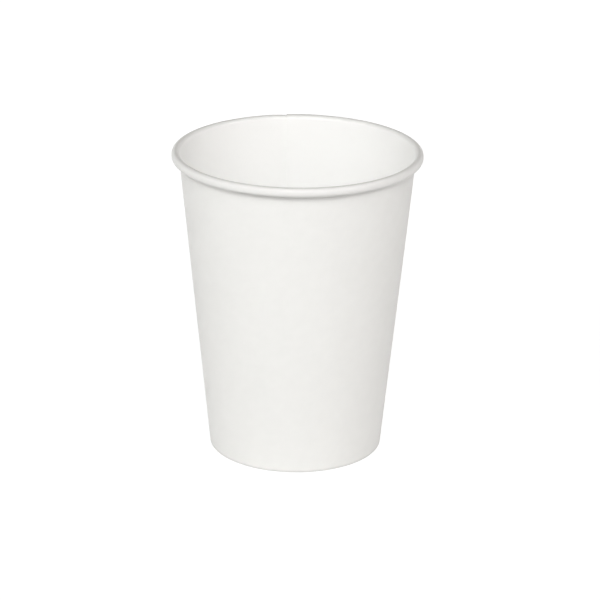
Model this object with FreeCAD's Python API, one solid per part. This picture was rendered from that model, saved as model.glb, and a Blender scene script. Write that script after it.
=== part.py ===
# A single-wall paper cup for hot drinks, made of two pieces of coated board.
# The sidewall is one blank: folded in at the foot, wrapped into a cone with a lapped side seam,
# and rolled outwards at the rim. The bottom disc is sealed between the wall and its folded hem.
# Frame: the origin is the middle of the foot's ring, on the surface that the cup stands on.
# +Z points up out of the mouth, and +Y points at the side seam. All lengths are millimetres.
import FreeCAD, Part
import math
import os

# Overall sizes
height = 112.0
rim_outer_diameter = 90.0
# The foot is measured where the wall's outer face, carried on down, meets the table.
foot_outer_diameter = 62.8

# Boards, and the coating that melts between two sealed boards
wall_board = 0.38
bottom_board = 0.30
seal_film = 0.02

# Rolled rim, with a straight stretch on its outer side that makes it a little taller than wide
roll_width = 3.0
roll_side_straight = 0.36
roll_gap = 0.20
roll_end_turn = 60.0

# Foot: how tightly the wall folds, and how the bottom disc sits in the fold
fold_inner_radius = 0.05
bottom_recess = 8.0
bottom_bend_radius = 0.8
hem_edge_clearance = 0.5
skirt_end_clearance = 0.6

# Side seam: the outer edge rides up on the inner edge, and both are sealed over the lap
lap_width = 8.0
lap_ramp = 5.0

# Radii of the rolled rim's outer turn, and of its inner turn that lies one gap inside it
roll_radius = roll_width / 2
roll_inside_radius = roll_radius - wall_board
inner_turn_radius = roll_inside_radius - roll_gap
roll_centre_r = rim_outer_diameter / 2 - roll_radius
roll_centre_z = height - roll_radius
roll_drop = roll_radius + roll_side_straight

# The wall's lean from the vertical: its outer face rises from the foot and is tangent to the
# inside of the roll
foot_radius = foot_outer_diameter / 2
foot_to_roll = math.hypot(roll_centre_r - foot_radius, roll_centre_z)
lean = (math.atan2(roll_centre_r - foot_radius, roll_centre_z)
        - math.asin(roll_inside_radius / foot_to_roll))
lean_degrees = math.degrees(lean)

# The roll's underside turns back up and lies one gap outside the wall
tuck_radius = ((roll_inside_radius - roll_gap + roll_drop * math.sin(lean))
               / (1 + math.sin(lean)))

# The fold at the foot holds the hem, the bottom disc's skirt and the wall side by side
fold_radius = wall_board + fold_inner_radius
sealed_gap = bottom_board + 2 * seal_film
foot_land = (sealed_gap - 2 * fold_inner_radius) / math.cos(lean)
skirt_offset = wall_board + seal_film
bottom_top = bottom_recess + bottom_board
hem_top = bottom_recess - (bottom_bend_radius - bottom_board) - hem_edge_clearance
skirt_end = wall_board + skirt_end_clearance


def direction(degrees):
    """The unit vector at an angle above +X, in the XZ plane."""
    return FreeCAD.Vector(math.cos(math.radians(degrees)), 0, math.sin(math.radians(degrees)))


def run(point, heading, length, board):
    """A straight stretch of sheet: its two faces, where it ends and which way it then heads."""
    end = point + direction(heading) * length
    across = direction(heading + 90) * board
    faces = [Part.LineSegment(point, end), Part.LineSegment(point + across, end + across)]
    return faces, end, heading


def bend(point, heading, radius, turn, board):
    """A bend of the sheet about a centre on its left for a positive turn, or on its right."""
    side = math.copysign(1, turn)
    centre = point + direction(heading + 90 * side) * radius
    faces = []
    for face_radius in (radius, radius - side * board):
        spokes = [direction(heading - 90 * side + turn * part) for part in (0, 0.5, 1)]
        faces.append(Part.Arc(*[centre + spoke * face_radius for spoke in spokes]))
    end = centre + direction(heading - 90 * side + turn) * radius
    return faces, end, heading + turn


def sheet(start, heading, steps, board):
    """A sheet turned about Z: steps drive one of its faces, and the board lies on their left."""
    point, near, far = start, [], []
    for step in steps:
        shape = run if len(step) == 1 else bend
        (near_face, far_face), point, heading = shape(point, heading, *step, board)
        near.append(near_face)
        far.append(far_face)
    ends = [Part.LineSegment(near[0].StartPoint, far[0].StartPoint),
            Part.LineSegment(near[-1].EndPoint, far[-1].EndPoint)]
    edges = [curve.toShape() for curve in near + far + ends]
    section = Part.Face(Part.Wire(Part.__sortEdges__(edges)))
    return section.revolve(FreeCAD.Vector(0, 0, 0), FreeCAD.Vector(0, 0, 1), 360)


def on_wall(offset, z):
    """The point at a height on a line beside the wall's outer face, an offset inwards of it."""
    return FreeCAD.Vector(foot_radius + z * math.tan(lean) - offset / math.cos(lean), 0, z)


def wrapped_board():
    """Hem, fold, wall and rolled rim, drawn along the face that is outermost on the wall."""
    up = 90 - lean_degrees
    fold_z = fold_radius * (1 - math.sin(lean))
    hem_start = on_wall(wall_board + sealed_gap + wall_board, hem_top)
    hem_fold_z = fold_radius * (1 + math.sin(lean))
    wall_end_z = roll_centre_z + roll_inside_radius * math.sin(lean)
    steps = [
        ((hem_top - hem_fold_z) / math.cos(lean),),
        (fold_radius, 180 - up),
        (foot_land,),
        (fold_radius, up),
        ((wall_end_z - fold_z) / math.cos(lean),),
        (roll_inside_radius, -up),
        (roll_inside_radius, -90),
        (roll_side_straight,),
        (roll_inside_radius, -90),
        (tuck_radius - wall_board, -(180 - up)),
        ((roll_radius + roll_side_straight - tuck_radius) * math.cos(lean),),
        (inner_turn_radius - wall_board, -roll_end_turn),
    ]
    return sheet(hem_start, up - 180, steps, wall_board)


def bottom_disc():
    """A flat disc whose edge is bent down into a skirt that follows the wall."""
    up = 90 - lean_degrees
    bend_z = bottom_top - bottom_bend_radius * (1 + math.sin(lean))
    bend_centre = on_wall(skirt_offset + bottom_bend_radius, bottom_top - bottom_bend_radius)
    steps = [
        ((bend_z - skirt_end) / math.cos(lean),),
        (bottom_bend_radius, 180 - up),
        (bend_centre.x,),
    ]
    return sheet(on_wall(skirt_offset, skirt_end), up, steps, bottom_board)


def seam_step(offset, z, lap):
    """The outline, at a height, of a board's rise over the seam's inner edge, and of its lap.

    It rises from half a board under the face at the given offset to one board above it.
    """
    face = on_wall(offset, z).x
    board = wall_board / math.cos(lean)
    low, high = face - board / 2, face + board
    edge = -lap_width / 2
    start = edge - lap_ramp
    end = edge + lap

    def at(radius, along):
        angle = along / face
        return FreeCAD.Vector(radius * math.sin(angle), radius * math.cos(angle), z)

    edges = [
        Part.Arc(at(low, start), at((low + high) / 2, (start + edge) / 2), at(high, edge)),
        Part.LineSegment(at(high, end), at(low, end)),
        Part.Arc(at(low, end), at(low, (start + end) / 2), at(low, start)),
    ]
    if lap:
        edges.insert(1, Part.Arc(at(high, edge), at(high, (edge + end) / 2), at(high, end)))
    return Part.Wire([curve.toShape() for curve in edges])


def seam_solid(offset, bottom, top, lap):
    """The seam's step carried up the leaning wall between two heights."""
    return Part.makeLoft([seam_step(offset, z, lap) for z in (bottom, top)], True, True)


def sidewall():
    """The wrapped board with its lapped side seam, which runs from the foot up into the roll."""
    tuck_centre_z = height - roll_radius - roll_drop + tuck_radius
    lap = seam_solid(0, fold_radius, tuck_centre_z, lap_width)
    groove = seam_solid(wall_board, bottom_top, roll_centre_z, 0)
    return wrapped_board().fuse(lap).cut(groove)


os.makedirs("parts", exist_ok=True)
for name, piece in (("sidewall", sidewall()), ("bottom_disc", bottom_disc())):
    piece.exportStep("parts/" + name + ".step")
    print(name, "solids", len(piece.Solids), "volume", round(piece.Volume, 1),
          "valid", piece.isValid())
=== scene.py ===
# %% [markdown]
# # A paper cup for hot drinks
# The real cup is two pieces of coated board. The sidewall is one flat blank: its lower edge is
# folded inwards, the blank is wrapped into a cone with a lapped seam, and its upper edge is
# rolled outwards. The bottom is a disc with its edge bent down, sealed into the fold.
#
# A quick cup would be a lathed tube. This lesson models the board itself instead: a section
# with two faces, carried round the cone, with the seam's steps worked into it as it goes.

# %% Load the fixed frame
import math

import bpy
import numpy as np
from mathutils import Matrix, Vector


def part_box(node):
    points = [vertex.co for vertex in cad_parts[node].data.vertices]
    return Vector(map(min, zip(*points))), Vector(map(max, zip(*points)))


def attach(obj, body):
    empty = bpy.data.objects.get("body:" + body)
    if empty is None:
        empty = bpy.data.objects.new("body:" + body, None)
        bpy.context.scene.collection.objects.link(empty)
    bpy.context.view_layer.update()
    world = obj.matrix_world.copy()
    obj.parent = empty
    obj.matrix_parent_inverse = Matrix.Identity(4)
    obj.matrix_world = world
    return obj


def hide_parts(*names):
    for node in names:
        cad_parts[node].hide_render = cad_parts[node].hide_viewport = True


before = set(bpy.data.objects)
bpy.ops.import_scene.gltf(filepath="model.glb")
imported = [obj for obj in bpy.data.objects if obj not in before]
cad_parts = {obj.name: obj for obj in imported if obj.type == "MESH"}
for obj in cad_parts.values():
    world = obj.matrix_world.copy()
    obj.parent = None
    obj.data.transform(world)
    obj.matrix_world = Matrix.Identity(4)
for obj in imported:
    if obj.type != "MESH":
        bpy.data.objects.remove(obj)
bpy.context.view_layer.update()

mm = 0.001
body = "root"

# %% [markdown]
# ## Sizes
# The height, the rim and the level of the bottom come from the frame. The rest are the
# maker's own sizes: how thick the boards are, how tight the roll is, how wide the seam's lap.

# %% Sizes of the boards, the roll, the foot and the seam
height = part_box("sidewall")[1][2]
rim_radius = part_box("sidewall")[1][0]
bottom_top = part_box("bottom_disc")[1][2]
foot_radius = 31.4 * mm

wall_board = 0.38 * mm
bottom_board = 0.30 * mm
seal_film = 0.02 * mm

roll_radius = 1.5 * mm
roll_side_straight = 0.36 * mm
roll_gap = 0.20 * mm
roll_end_turn = 60.0

fold_inner_radius = 0.05 * mm
bottom_bend_radius = 0.8 * mm
hem_edge_clearance = 0.5 * mm
skirt_end = wall_board + 0.6 * mm

lap_width = 8.0 * mm
lap_ramp = 5.0 * mm
print("height %.1f mm, rim %.1f mm across" % (height / mm, 2 * rim_radius / mm))

# %% [markdown]
# ## The wall's lean
# The wall's outer face rises from the foot and is tangent to the inside of the roll. That
# fixes its lean, and the lean fixes where the roll's underside tucks back against the wall.

# %% The lean, the tuck and the fold
roll_inside = roll_radius - wall_board
roll_centre = complex(rim_radius - roll_radius, height - roll_radius)
roll_drop = roll_radius + roll_side_straight
to_roll = roll_centre - foot_radius
lean = math.atan2(to_roll.real, to_roll.imag) - math.asin(roll_inside / abs(to_roll))
up = 90 - math.degrees(lean)

tuck_radius = (roll_inside - roll_gap + roll_drop * math.sin(lean)) / (1 + math.sin(lean))
inner_turn_radius = roll_inside - roll_gap
fold_radius = wall_board + fold_inner_radius
sealed_gap = bottom_board + 2 * seal_film
foot_land = (sealed_gap - 2 * fold_inner_radius) / math.cos(lean)
hem_top = bottom_top - bottom_bend_radius - hem_edge_clearance
print("wall leans out by %.2f degrees" % math.degrees(lean))


def on_wall(offset, z):
    """The section point r + iz at a height, on a line an offset inwards of the wall's face."""
    return complex(foot_radius + z * math.tan(lean) - offset / math.cos(lean), z)


# %% [markdown]
# ## The camera
# The camera stands where the photograph was taken from: about a metre away, some twenty
# degrees above the table, with a long lens. It is fixed first.

# %% The camera at the photograph's angle
view_distance = 1.0136
view_elevation = math.radians(20.53)
view_roll = math.radians(0.495)
lens_mm, sensor_mm, photo_px = 167.06, 36.0, 600
cup_middle_px = (296.33, 296.57)

back = Vector((0, -math.cos(view_elevation), math.sin(view_elevation)))
right = Vector((1, 0, 0))
upward = back.cross(right)
tilted_right = right * math.cos(view_roll) + upward * math.sin(view_roll)
tilted_up = upward * math.cos(view_roll) - right * math.sin(view_roll)

cup_middle = Vector((0, 0, height / 2))
metres_per_px = view_distance * sensor_mm / lens_mm / photo_px
aim = (cup_middle + tilted_right * (photo_px / 2 - cup_middle_px[0]) * metres_per_px
       + tilted_up * (cup_middle_px[1] - photo_px / 2) * metres_per_px)
stand = cup_middle + back * view_distance
to_camera = (stand - aim).normalized()
camera_right = tilted_up.cross(to_camera).normalized()
camera_up = to_camera.cross(camera_right)

camera_data = bpy.data.cameras.new("photo_camera")
camera_data.lens, camera_data.sensor_width = lens_mm, sensor_mm
camera = bpy.data.objects.new("photo_camera", camera_data)
bpy.context.collection.objects.link(camera)
camera.matrix_world = (Matrix.Translation(stand)
                       @ Matrix((camera_right, camera_up, to_camera)).transposed().to_4x4())
bpy.context.scene.camera = camera
bpy.context.scene.view_settings.view_transform = "Standard"
print("camera at", [round(v, 3) for v in stand])

# %% [markdown]
# ## The studio
# White board shows only what lights it, so the light is most of the likeness. In the
# photograph the wall is brightest a little left of its middle, the roll throws a short soft
# shade under itself, and the inside is even brighter than the outside. So two boxes hang in
# front, higher than the camera, the left one nearly twice as strong as the right. They are
# wide but not tall, so that the shade stays short, and two metres away, so that the wall is
# lit as evenly at the foot as at the rim. Two warmer boxes at the sides keep the edges from
# going dark. Two fills and a glow near the horizon are for views into the cup and from
# behind, and are kept out of its gloss.


# %% Nodes of a world or a material, in one line each
def add_node(tree, kind, values=(), **settings):
    """Add a node, set its properties, and fill its inputs: by a value or from a socket."""
    made = tree.nodes.new(kind)
    for name, value in settings.items():
        setattr(made, name, value)
    for key, value in dict(values).items():
        if isinstance(value, bpy.types.NodeSocket):
            tree.links.new(value, made.inputs[key])
        else:
            made.inputs[key].default_value = value
    return made


def math_node(tree, operation, first, second):
    """One operation on two numbers or sockets."""
    return add_node(tree, "ShaderNodeMath", {0: first, 1: second}, operation=operation).outputs[0]


def sees_background(tree):
    """1 for the rays that should find a plain white background, and 0 for those that light."""
    path = add_node(tree, "ShaderNodeLightPath").outputs
    seen = math_node(tree, "MAXIMUM", path["Is Camera Ray"], path["Is Glossy Ray"])
    return math_node(tree, "MAXIMUM", seen, path["Is Transmission Ray"])


# %% The world: a low glow at the back, and a white background
back_glow = 2.0
glow_top = 0.3

world = bpy.data.worlds.new("studio")
bpy.context.scene.world = world
world.use_nodes = True
tree = world.node_tree
tree.nodes.clear()
direction = add_node(tree, "ShaderNodeTexCoord").outputs["Generated"]
parts = add_node(tree, "ShaderNodeSeparateXYZ", {0: direction}).outputs
lowness = add_node(tree, "ShaderNodeMapRange", {
    "Value": parts["Z"], "From Min": 0.0, "From Max": glow_top,
    "To Min": back_glow, "To Max": 0.0}).outputs[0]
behind = math_node(tree, "MAXIMUM", parts["Y"], 0.0)
backness = math_node(tree, "MULTIPLY", behind, behind)
lighting = add_node(tree, "ShaderNodeBackground", {
    "Color": (1, 1, 1, 1), "Strength": math_node(tree, "MULTIPLY", lowness, backness)})
backdrop = add_node(tree, "ShaderNodeBackground", {"Color": (1, 1, 1, 1), "Strength": 1.0})
either = add_node(tree, "ShaderNodeMixShader", {
    0: sees_background(tree), 1: lighting.outputs[0], 2: backdrop.outputs[0]})
add_node(tree, "ShaderNodeOutputWorld", {"Surface": either.outputs[0]})
print("world glows", back_glow, "at the back")


# %% The softboxes
box_distance = 2.0


def softbox(name, azimuth, elevation, size, watts, tint, in_gloss=True):
    """An area lamp on a sphere round the cup, facing its middle; fills are left out of gloss."""
    a, e = math.radians(azimuth), math.radians(elevation)
    way = Vector((math.sin(a) * math.cos(e), -math.cos(a) * math.cos(e), math.sin(e)))
    lamp = bpy.data.lights.new(name, "AREA")
    lamp.shape, lamp.energy, lamp.color = "RECTANGLE", watts, tint
    lamp.size, lamp.size_y = size
    made = bpy.data.objects.new(name, lamp)
    bpy.context.collection.objects.link(made)
    made.location = cup_middle + way * box_distance
    made.rotation_euler = way.to_track_quat("Z", "Y").to_euler()
    made.visible_camera = False
    made.visible_glossy = in_gloss
    return made


# Name, azimuth and elevation in degrees, size in metres, watts and tint
white = (1.0, 1.0, 1.0)
softboxes = [
    softbox("key_left", -20, 41, (1.85, 0.77), 22.4, white),
    softbox("key_right", 20, 41, (1.85, 0.77), 12.2, white),
    softbox("side_left", -68, 24, (1.38, 1.38), 10.4, (1.0, 0.98, 0.965)),
    softbox("side_right", 68, 24, (1.38, 1.38), 10.9, (1.0, 0.945, 0.93)),
    softbox("fill_above", 0, 85, (0.92, 0.92), 3.1, white, in_gloss=False),
    softbox("fill_behind", -172, 12, (1.23, 0.92), 12.3, white, in_gloss=False)]
print(len(softboxes), "softboxes")


# %% The table: white to the camera, with the cup's faint shadow on it
spot_radius = foot_radius - 0.3 * mm
whitens_from, white_from = 0.15, 0.6


def table_material(paleness, shown_paleness, shown_glow, under_glow):
    """A pale diffuse top. Rays that should find a white background see it paler than it lights.

    They see a little of the diffuse top, which keeps the shadow, over a glow that grows to
    full white away from the cup, so that the table has no far edge. From below the table
    isn't there, and the spot that the foot encloses glows, so that the recess shows.
    """
    made = bpy.data.materials.new("pale_table")
    made.use_nodes = True
    tree = made.node_tree
    tree.nodes.clear()
    place = add_node(tree, "ShaderNodeTexCoord").outputs["Object"]
    from_axis = add_node(tree, "ShaderNodeVectorMath", {0: place}, operation="LENGTH")
    in_foot = math_node(tree, "LESS_THAN", from_axis.outputs["Value"], spot_radius)
    spot = add_node(tree, "ShaderNodeEmission", {
        "Strength": math_node(tree, "MULTIPLY", in_foot, under_glow)})
    plain = add_node(tree, "ShaderNodeBsdfDiffuse", {"Color": (paleness, paleness, paleness, 1)})
    top = add_node(tree, "ShaderNodeAddShader", {0: plain.outputs[0], 1: spot.outputs[0]})
    faint = add_node(tree, "ShaderNodeBsdfDiffuse", {
        "Color": (shown_paleness, shown_paleness, shown_paleness, 1)})
    whiter = add_node(tree, "ShaderNodeMapRange", {
        "Value": from_axis.outputs["Value"], "From Min": whitens_from, "From Max": white_from,
        "To Min": shown_glow, "To Max": 1.0}).outputs[0]
    glow = add_node(tree, "ShaderNodeEmission", {"Strength": whiter})
    shown = add_node(tree, "ShaderNodeAddShader", {0: faint.outputs[0], 1: glow.outputs[0]})
    above = add_node(tree, "ShaderNodeMixShader", {
        0: sees_background(tree), 1: top.outputs[0], 2: shown.outputs[0]})
    below = add_node(tree, "ShaderNodeNewGeometry").outputs["Backfacing"]
    clear = add_node(tree, "ShaderNodeBsdfTransparent")
    either = add_node(tree, "ShaderNodeMixShader", {
        0: below, 1: above.outputs[0], 2: clear.outputs[0]})
    add_node(tree, "ShaderNodeOutputMaterial", {"Surface": either.outputs[0]})
    return made


table_half, table_drop = 2.0, 0.02 * mm
corners = [(-table_half, -table_half), (table_half, -table_half),
           (table_half, table_half), (-table_half, table_half)]
table_mesh = bpy.data.meshes.new("table")
table_mesh.from_pydata([(x, y, -table_drop) for x, y in corners], [], [(0, 1, 2, 3)])
table_mesh.materials.append(table_material(
    paleness=0.86, shown_paleness=0.14, shown_glow=0.93, under_glow=0.35))
table = bpy.data.objects.new("table", table_mesh)
bpy.context.collection.objects.link(table)
print("table %.1f m square" % (2 * table_half))

# %% [markdown]
# ## A bent sheet in section
# Cut a paper cup in half and its wall is one long line: down the hem, round the fold, up the
# wall and round the roll. Drawing it as straight runs and tangent bends, as the folding
# machine makes it, keeps every radius honest. A point of the section is the complex number
# r + iz, so that a bend is one multiplication.


# %% Following runs and bends
def even(parts):
    """Where the points of a step lie along it: from 0 up to, but not including, 1."""
    return np.arange(parts) / parts


def trace(start, heading, steps):
    """Follow one face of a bent sheet, given as steps of (length, t) or (radius, turn, t).

    A run adds t times its length along the heading. A bend swings the spoke from its centre,
    on the left for a positive turn and on the right for a negative one, by t times its turn.
    Returns, for each point, its place, the unit normal on its left, how far along the sheet
    it is, and its step's number plus t.
    """
    walked, rows = 0.0, []
    for number, (*shape, t) in enumerate(steps):
        way = np.exp(1j * np.radians(heading))
        if len(shape) == 1:
            length, turn = shape[0], 0.0
            centre, spoke, drift = start, 0j, length * way
        else:
            radius, turn = shape
            length = radius * math.radians(abs(turn))
            centre = start + 1j * way * radius * np.sign(turn)
            spoke, drift = start - centre, 0j
        swing = np.exp(1j * np.radians(turn * t))
        rows.append([centre + spoke * swing + drift * t, 1j * way * swing,
                     walked + length * t, number + t])
        start = centre + spoke * np.exp(1j * np.radians(turn)) + drift
        heading, walked = heading + turn, walked + length
    end = 1j * np.exp(1j * np.radians(heading))
    rows.append([[start], [end], [walked], [float(len(steps))]])
    return [np.concatenate(column) for column in zip(*rows)]


# %% The sidewall's two faces
def sidewall_face(offset, t):
    """One face of the wrapped board, an offset to the left of the face that shows outside.

    A left bend loses the offset from its radius and a right bend gains it. After the hem,
    the fold's two corners and the wall come the roll's mouth, shoulder, side and underside,
    then its tuck against the wall and the end that turns on inside it.
    """
    hem_fold_z = fold_radius * (1 + math.sin(lean))
    wall_start_z = fold_radius * (1 - math.sin(lean))
    wall_end_z = roll_centre.imag + roll_inside * math.sin(lean)
    steps = [
        ((hem_top - hem_fold_z) / math.cos(lean), t["hem"]),
        (fold_radius - offset, 180 - up, t["fold"]),
        (foot_land, t["land"]),
        (fold_radius - offset, up, t["fold"]),
        ((wall_end_z - wall_start_z) / math.cos(lean), t["wall"]),
        (roll_inside + offset, -up, t["mouth"]),
        (roll_inside + offset, -90.0, t["shoulder"]),
        (roll_side_straight, t["side"]),
        (roll_inside + offset, -90.0, t["underside"]),
        (tuck_radius - wall_board + offset, -(180 - up), t["tuck"]),
        ((roll_drop - tuck_radius) * math.cos(lean), t["end"]),
        (inner_turn_radius - wall_board + offset, -roll_end_turn, t["end"]),
    ]
    heading = up - 180
    start = on_wall(2 * wall_board + sealed_gap, hem_top)
    start += 1j * np.exp(1j * math.radians(heading)) * offset
    return trace(start, heading, steps)


# The numbers of the steps that are asked for again, as trace counts them
FOLDS, WALL, MOUTH, SHOULDER, SIDE, UNDERSIDE, END = 1, 4, 5, 6, 7, 8, 10

# The wall's rows lie closer near the foot and near the roll, where the seam's lift changes
near_foot, near_roll = 0.10, 0.97
wall_t = np.concatenate([np.linspace(0, near_foot, 14, endpoint=False),
                         np.linspace(near_foot, near_roll, 12, endpoint=False),
                         np.linspace(near_roll, 1.0, 6, endpoint=False)])
outside = sidewall_face(0.0, {
    "hem": even(14), "fold": even(6), "land": even(1), "wall": wall_t, "mouth": even(3),
    "shoulder": even(3), "side": even(1), "underside": even(3), "tuck": even(3),
    "end": even(1)})
inside = sidewall_face(wall_board, {
    "hem": even(2), "fold": even(2), "land": even(1), "wall": wall_t, "mouth": even(12),
    "shoulder": even(12), "side": even(2), "underside": even(10), "tuck": even(8),
    "end": even(1)})
section, section_left, walked, stage = [
    np.concatenate([out, within[::-1]])[:, None] for out, within in zip(outside, inside)]
is_outside = (np.arange(len(section)) < len(outside[0]))[:, None]
print("section of", len(section), "points,", round(outside[2][-1] / mm, 1), "mm of board")

# %% [markdown]
# ## Round the cone
# Each point of the section is carried round the axis. Near the seam the columns are placed
# by their distance along the board, because the lap is as wide at the foot as at the rim.
# The rest share what is left of the turn evenly.

# %% Columns round the cup
# A step's two columns stand a hair to each side of its edge, and the rim's bulge over the lap
# fades out beyond it.
hair = 0.004 * mm
fade = 7.0 * mm
ramp_columns, lap_columns, round_columns = 20, 28, 540
inner_edge, outer_edge = -lap_width / 2, lap_width / 2
seam_along = np.concatenate([
    np.linspace(inner_edge - lap_ramp, inner_edge - hair, ramp_columns),
    np.linspace(inner_edge + hair, outer_edge - hair, lap_columns),
    np.linspace(outer_edge + hair, outer_edge + fade, ramp_columns)])
along = np.concatenate([seam_along, np.full(round_columns, seam_along[-1])])
share = np.concatenate([np.zeros(len(seam_along)),
                        np.arange(1, round_columns + 1) / round_columns])

widest_wall = on_wall(0.0, roll_centre.imag).real
reach = np.clip(section.real, foot_radius, widest_wall)
span = seam_along[-1] - seam_along[0]
angle = along / reach + share * (2 * np.pi - span / reach)
print(len(along), "columns, the last of which closes the turn")

# %% [markdown]
# ## The lapped seam
# Where the blank's two edges meet, the outer one leaves the cone along a tangent, lands on
# the inner one and lies on it for 8 mm. A tangent leaves a circle by the square of the
# distance along it, which is the climb below. Outside, the outer one's cut edge is a step
# down. Inside, the inner edge is a step too, and it carries on over the rolled rim as a small
# notch. A strip laid over the cone could stand for the lap, but lifting the board's own two
# faces keeps it one surface, with an edge that is as thick as the board.


# %% How far the seam lifts each face, along the board
def smooth(value, low, high):
    """0 below low, 1 above high, and the curve 3t^2 - 2t^3 between them."""
    t = np.clip((value - low) / (high - low), 0, 1)
    return t * t * (3 - 2 * t)


in_seam = share == 0
climb = np.clip((along - inner_edge + lap_ramp) / lap_ramp, 0, 1) ** 2
outer_lift = np.where(in_seam & (along < outer_edge), climb, 0)
inner_lift = np.where(in_seam & (along < inner_edge), climb, 0)
bulge = np.where(in_seam, climb * (1 - smooth(along, outer_edge, outer_edge + fade)), 0)
print("seam lifts the board by", round(wall_board / mm, 2), "mm")

# %% How much of that each point of the section takes
z = section.imag
# Outside, the lap starts just above the table, and inside just above the bottom disc.
lift_starts, lift_full = 0.3 * mm, 2.2 * mm
above_bottom = 1.0 * mm
off_table = smooth(z, lift_starts, lift_full)
off_bottom = smooth(z, bottom_top, bottom_top + above_bottom)
outer_take = np.where(stage < MOUTH, off_table, np.clip(SHOULDER - stage, 0, 1))
inner_take = np.where(stage < MOUTH, np.where(stage > WALL, off_bottom, 0),
                      np.clip(END - stage, 0, 1))
across_roll = (section.real - rim_radius + 2 * roll_radius) / (2 * roll_radius)
roll_take = np.where(stage < MOUTH, 0, np.where(stage < SIDE, np.clip(across_roll, 0, 1), 1))
lift = np.where(is_outside, outer_lift * outer_take, inner_lift * inner_take) * wall_board
push = bulge * roll_take * wall_board
print("largest lift %.2f mm, rim pushed out %.2f mm" % (lift.max() / mm, push.max() / mm))

# %% [markdown]
# ## What the machines leave
# A knurled wheel presses the hem against the bottom disc, and leaves fine upright ridges
# round the inside of the foot. The cone is never quite round, and the roll ripples a little
# where the board was stretched. These are hundredths of a millimetre, and they keep the
# highlights from looking drawn. A bump in the material could show the ridges, but waves in
# the points show at the edges too, and go with the mesh wherever it is used.


# %% Sums of waves
most_lean, last_phase = 40, 6.28


def waves(angle, z, count, turns, size, seed):
    """A sum of sines: each goes a whole number of times round, leans with z, and has its phase."""
    draw = np.random.default_rng(seed)
    total = 0.0
    for number in range(count):
        times = draw.integers(turns[0], turns[1] + 1)
        leaning = draw.uniform(-most_lean, most_lean) * z
        total = total + np.sin(times * angle + leaning + draw.uniform(0, last_phase))
    return size * total / count


# %% Knurling
ridges = 128
knurl_depth = 0.07 * mm
knurl_begins, knurl_ends = (1.0 * mm, 1.9 * mm), (5.9 * mm, 6.6 * mm)
knurled = np.where(is_outside & (stage < FOLDS),
                   smooth(z, *knurl_begins) * (1 - smooth(z, *knurl_ends)), 0)
lift = lift - knurl_depth * knurled * (0.5 - 0.5 * np.cos(ridges * angle))
print("knurled with", ridges, "ridges")

# %% Roundness and ripples
out_of_round, wall_wave, roll_ripple = 0.12 * mm, 0.05 * mm, 0.03 * mm
roll_hold = 8

# The wall is free at the rim and held at the bottom disc. The roll holds its shorter waves too.
free = np.clip((z - bottom_top) / (height - bottom_top), 0, 1)
push = push + free * waves(angle, z, 3, (2, 3), out_of_round, seed=11)
push = push + free * (1 - free ** roll_hold) * waves(angle, z, 6, (4, 9), wall_wave, seed=12)
ripple = np.where((stage > MOUTH) & (stage < END),
                  waves(angle, 0 * z, 9, (40, 130), roll_ripple, seed=13), 0)
print("rim out of round by up to", round(out_of_round / mm, 2), "mm")

# %% [markdown]
# ## From grid to mesh
# The section closes on itself and so do the columns, so the board is one closed ring of
# quads. The order of each quad's corners makes its face point out of the board. The flat
# blank's own coordinates go with it as a UV map, in millimetres, for the paper's fibres.


# %% Mesh builders
def ring_quads(rows, columns, rows_close):
    """Quads from each row to the next and each column to the next; columns always close."""
    i, j = np.meshgrid(np.arange(rows if rows_close else rows - 1), np.arange(columns),
                       indexing="ij")
    down, on = (i + 1) % rows, (j + 1) % columns
    corners = [i * columns + j, down * columns + j, down * columns + on, i * columns + on]
    return np.stack(corners, axis=-1).reshape(-1, 4), i.ravel(), j.ravel()


def make_piece(name, points, faces, blank, finishes, sharp_degrees):
    """A mesh object at the origin, with its blank coordinates and one finish number a face."""
    mesh = bpy.data.meshes.new(name)
    mesh.from_pydata(points, [], faces)
    mesh.polygons.foreach_set("material_index", finishes)
    layer = mesh.uv_layers.new(name="blank")
    layer.uv.foreach_set("vector", np.asarray(blank, dtype=np.float32).ravel())
    mesh.shade_smooth()
    mesh.set_sharp_from_angle(angle=math.radians(sharp_degrees))
    mesh.validate()
    made = bpy.data.objects.new(name, mesh)
    bpy.context.collection.objects.link(made)
    made.data.update()
    return made


OUTSIDE, COATED, CUT = 0, 1, 2

# %% [markdown]
# Where the board is rolled or folded it is painted greyer than the wall, most of all over the
# crest and where it tucks under: painted shade for the light that falls less on the roll, for the
# crease under it, and for the thin grey line at the foot's fold. The same value makes the board
# duller there. It goes with the points as an attribute, and each finish mixes its colours by it.

# %% How much shade is painted on the roll and the fold, and how much they dull
roll_shade_and_dullness, crest_shade_and_dullness, fold_shade_and_dullness = 0.37, 0.76, 0.7
rolled_by = MOUTH + 0.5
crest_width = 0.35
tucks_from, tucked_by = UNDERSIDE + 0.4, UNDERSIDE + 1.0
fold_reach = 0.7 * mm
rolled = smooth(stage, MOUTH, rolled_by)
on_crest = np.exp(-((stage - SHOULDER) / crest_width) ** 2)
tucked = smooth(stage, tucks_from, tucked_by)
# Painted shade: the roll greyer, the crest greyer still, and the crease where it tucks under
# greyest.
painted_shade_and_dullness_rows = rolled * np.maximum(roll_shade_and_dullness + (crest_shade_and_dullness - roll_shade_and_dullness) * on_crest, tucked)
# Painted shade at the foot: a thin grey line along the bottom of the fold.
painted_shade_and_dullness_rows = np.maximum(painted_shade_and_dullness_rows, fold_shade_and_dullness * (1 - smooth(z, 0.0, fold_reach)))
print("strain on", int((painted_shade_and_dullness_rows > 0).sum()), "of", len(painted_shade_and_dullness_rows), "rows")

# %% The sidewall
place = section - section_left * (lift + ripple) + push
radius, level = place.real, place.imag
points = np.stack([radius * np.sin(angle), radius * np.cos(angle), level], axis=-1)
rows, columns = len(section), len(along) - 1
quads, row, column = ring_quads(rows, columns, True)

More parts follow.
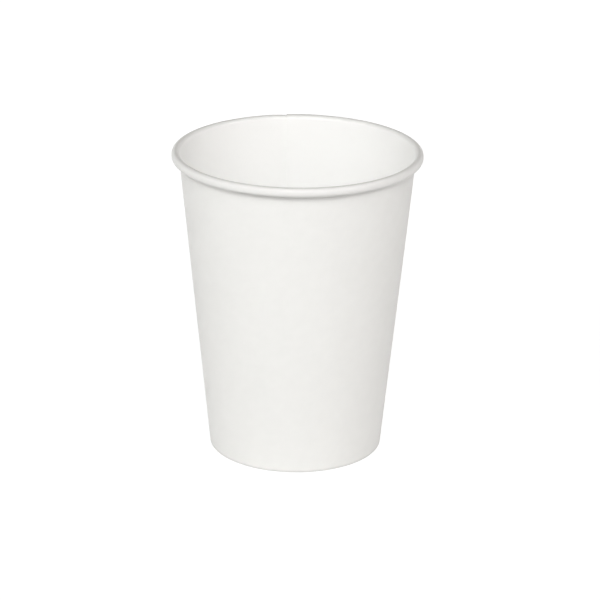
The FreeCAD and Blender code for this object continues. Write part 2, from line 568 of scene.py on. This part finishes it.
inner_row = ~is_outside[row, 0]
finishes = np.where(inner_row, COATED, OUTSIDE)
step_down = np.searchsorted(along, outer_edge) - 1
cut_seam = ~inner_row & (column == step_down) & (outer_take[row, 0] > 0)
cut_ends = (row == len(outside[0]) - 1) | (row == rows - 1)
finishes[cut_seam | cut_ends] = CUT

blank_u, blank_v = angle * reach / mm, np.broadcast_to(walked / mm, angle.shape)
next_row = (row + 1) % rows
corners = [(row, column), (next_row, column), (next_row, column + 1), (row, column + 1)]
blank = np.stack([np.stack([blank_u[c], blank_v[c]], axis=-1) for c in corners], axis=1)
sharp_degrees = 40
sidewall = make_piece("wrapped_sidewall", points[:, :-1].reshape(-1, 3), quads, blank,
                      finishes, sharp_degrees)
# The painted shade and the dullness go onto the points as one attribute.
painted_shade_and_dullness = sidewall.data.attributes.new("painted_shade_and_dullness", "FLOAT", "POINT")
painted_shade_and_dullness.data.foreach_set("value", np.broadcast_to(painted_shade_and_dullness_rows, (rows, columns)).ravel())
print("sidewall", len(quads), "quads")

# %% [markdown]
# ## The bottom disc
# The disc is a section too, from the middle of its underside, out and down the inside of
# its skirt, up the outside and back to the middle of its top. The board is drawn over the
# bend, so it puckers there a little, and its middle is crowned by a fraction of a millimetre.
# A flat cylinder would fill the place, but from above it would have no rounded edge, and from
# below no skirt.

# %% The bottom disc
skirt_offset = wall_board + seal_film
bend_z = bottom_top - bottom_bend_radius * (1 + math.sin(lean))
bend_r = on_wall(skirt_offset + bottom_bend_radius, bottom_top - bottom_bend_radius).real
flat_t = np.linspace(0, 1, 26, endpoint=False)


def disc_face(offset, bend_parts):
    """One face of the disc, an offset inwards of its outer face: skirt, bend and flat."""
    start = on_wall(skirt_offset, skirt_end)
    start += 1j * np.exp(1j * math.radians(up)) * offset
    return trace(start, up, [
        ((bend_z - skirt_end) / math.cos(lean), even(4)),
        (bottom_bend_radius - offset, 180 - up, even(bend_parts)),
        (bend_r, flat_t)])


top_face = [values[:-1] for values in disc_face(0.0, 12)]
under_face = [values[:-1] for values in disc_face(bottom_board, 8)]
disc, disc_left, disc_walked, disc_stage = [
    np.concatenate([under[::-1], top])[:, None] for under, top in zip(under_face, top_face)]
print("disc section of", len(disc), "points")

# %% Crown, puckers and sag
disc_columns = 360
crown_height, pucker_size, sag_size = 0.45 * mm, 0.04 * mm, 0.05 * mm
pucker_stage, pucker_width = 1.6, 0.5
turn = np.arange(disc_columns + 1) / disc_columns * 2 * np.pi
crown = crown_height * (1 - np.clip(disc.real / bend_r, 0, 1) ** 2)
at_bend = np.exp(-((disc_stage - pucker_stage) / pucker_width) ** 2)
pucker = at_bend * waves(turn, 0 * disc_stage, 7, (50, 110), pucker_size, seed=14)
inwards = 1 - smooth(disc.real, 0.2 * bend_r, bend_r)
sag = inwards * waves(turn, 0 * disc_stage, 3, (2, 4), sag_size, seed=15)
place = disc - disc_left * pucker + 1j * (crown + sag * (disc.real > 0))
points = np.stack([place.real * np.sin(turn), place.real * np.cos(turn), place.imag], axis=-1)
grid = points[:, :-1].reshape(-1, 3)
disc_rows = len(disc)
quads, row, _ = ring_quads(disc_rows, disc_columns, False)
print("disc grid", disc_rows, "by", disc_columns)

# %% Close the disc's two middles and make its mesh
middle_z = (bottom_top - bottom_board + crown.max(), bottom_top + crown.max())
under_pole, top_pole = len(grid), len(grid) + 1
grid = np.concatenate([grid, [(0, 0, middle_z[0]), (0, 0, middle_z[1])]])
j = np.arange(disc_columns)
on = (j + 1) % disc_columns
under_fan = np.stack([np.full(disc_columns, under_pole), j, on], axis=-1)
last_ring = (disc_rows - 1) * disc_columns
top_fan = np.stack([np.full(disc_columns, top_pole), last_ring + on, last_ring + j], axis=-1)

faces = quads.tolist() + under_fan.tolist() + top_fan.tolist()
flat_r = disc_walked.max() - disc_walked
flat = np.stack([flat_r * np.sin(turn), flat_r * np.cos(turn)], axis=-1)[:, :-1]
flat = np.concatenate([flat.reshape(-1, 2) / mm, [(0, 0), (0, 0)]])
blank = flat[np.concatenate([np.ravel(face) for face in (quads, under_fan, top_fan)])]
finishes = np.full(len(faces), COATED)
finishes[:len(quads)] = np.where(row < len(under_face[0]), OUTSIDE, COATED)
finishes[:len(quads)][row == len(under_face[0]) - 1] = CUT
finishes[len(quads):len(quads) + disc_columns] = OUTSIDE
bottom = make_piece("pressed_bottom_disc", grid, faces, blank, finishes, sharp_degrees)
print("disc", len(faces), "faces")

# %% [markdown]
# ## Coated board
# White board isn't one flat white. Its fibres settle in soft clouds a few millimetres
# across, which show as the faintest mottle, and they leave a fine tooth in the surface. The
# inside has a film of plastic over it, so it is smoother and a little glossier, and that
# same face turns outwards over the rim. The cut edges are bare fibre: rougher and warmer,
# but for the seam's inner edge, which the melted film covers. A scanned paper could give the
# mottle, but noise on the flat blank has no repeat, and runs with the board round the cone.


# %% One material for board
clouds_per_mm, fibres_per_mm = 0.22, 2.6
fibre_stretch = (1.0, 0.4, 1.0)
noise_low, noise_high = 0.3, 0.7
cloud_relief = 2.0
grain = 0.04
dullness_at_full_shade = 0.3

# A Mix node's sockets for two colours and for their mixture
first_colour, second_colour, mixed_colour = 6, 7, 2


def board_material(name, colour, painted_shade_colour, roughness, gleam, tooth, mottle):
    """Board with cloudy formation and a fibrous tooth, both from noise on the flat blank.

    The colour is the plain one mixed with the painted shade grey by the painted shade, times 1
    less the mottle where the clouds are dark. The roughness is its own plus or minus the grain
    with the fibres, plus the dullness times the same value.
    """
    made = bpy.data.materials.new(name)
    made.use_nodes = True
    tree = made.node_tree
    tree.nodes.clear()
    blank = add_node(tree, "ShaderNodeUVMap", uv_map="blank").outputs[0]
    clouds = add_node(tree, "ShaderNodeTexNoise", {
        "Vector": blank, "Scale": clouds_per_mm, "Detail": 3.0, "Roughness": 0.55}).outputs[0]
    stretch = add_node(tree, "ShaderNodeMapping", {"Vector": blank, "Scale": fibre_stretch})
    fibres = add_node(tree, "ShaderNodeTexNoise", {
        "Vector": stretch.outputs[0], "Scale": fibres_per_mm, "Detail": 3.0,
        "Roughness": 0.6}).outputs[0]

    # The painted shade and dullness attribute: it mixes in the painted shade grey and dulls the
    # board.
    painted_shade_and_dullness = add_node(tree, "ShaderNodeAttribute", attribute_name="painted_shade_and_dullness").outputs["Fac"]
    plain = add_node(tree, "ShaderNodeMix", {
        0: painted_shade_and_dullness, first_colour: (*colour, 1), second_colour: (*painted_shade_colour, 1)},
        data_type="RGBA").outputs[mixed_colour]
    shade = add_node(tree, "ShaderNodeMapRange", {
        "Value": clouds, "From Min": noise_low, "From Max": noise_high,
        "To Min": 1 - mottle, "To Max": 1.0})
    paint = add_node(tree, "ShaderNodeVectorMath", {0: plain, "Scale": shade.outputs[0]},
                     operation="SCALE").outputs[0]

    relief = math_node(tree, "ADD", fibres, math_node(tree, "MULTIPLY", clouds, cloud_relief))
    bump = add_node(tree, "ShaderNodeBump", {
        "Height": relief, "Strength": 1.0, "Distance": tooth}).outputs[0]
    dull = math_node(tree, "MULTIPLY", painted_shade_and_dullness, dullness_at_full_shade)
    grainy = add_node(tree, "ShaderNodeMapRange", {
        "Value": fibres, "From Min": noise_low, "From Max": noise_high,
        "To Min": roughness - grain, "To Max": roughness + grain}).outputs[0]
    gloss = math_node(tree, "ADD", grainy, dull)
    shader = add_node(tree, "ShaderNodeBsdfPrincipled", {
        "Base Color": paint, "Roughness": gloss, "Normal": bump, "IOR": 1.5,
        "Specular IOR Level": gleam})
    add_node(tree, "ShaderNodeOutputMaterial", {"Surface": shader.outputs[0]})
    return made


# %% The three finishes
outside_white = (0.830, 0.830, 0.808)
coated_white = (0.957, 0.957, 0.941)
# The grey painted over the roll, the crease under it and the foot's fold as shade.
painted_shade_grey = (0.455, 0.447, 0.424)
edge_white = (0.74, 0.72, 0.67)
finishes_made = (
    board_material("outside_board", outside_white, painted_shade_grey,
                   roughness=0.58, gleam=0.3, tooth=0.035 * mm, mottle=0.018),
    board_material("coated_board", coated_white, painted_shade_grey,
                   roughness=0.44, gleam=0.5, tooth=0.010 * mm, mottle=0.012),
    board_material("cut_edge", edge_white, edge_white,
                   roughness=0.85, gleam=0.2, tooth=0.040 * mm, mottle=0.05))
for piece in (sidewall, bottom):
    for material in finishes_made:
        piece.data.materials.append(material)
print(len(finishes_made), "finishes")

# %% [markdown]
# ## Into the frame
# Each piece stands for the solid of the same board, and rides on the part's one body.

# %% Place the pieces and finish
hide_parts("sidewall")
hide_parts("bottom_disc")
for piece in (sidewall, bottom):
    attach(piece, body)
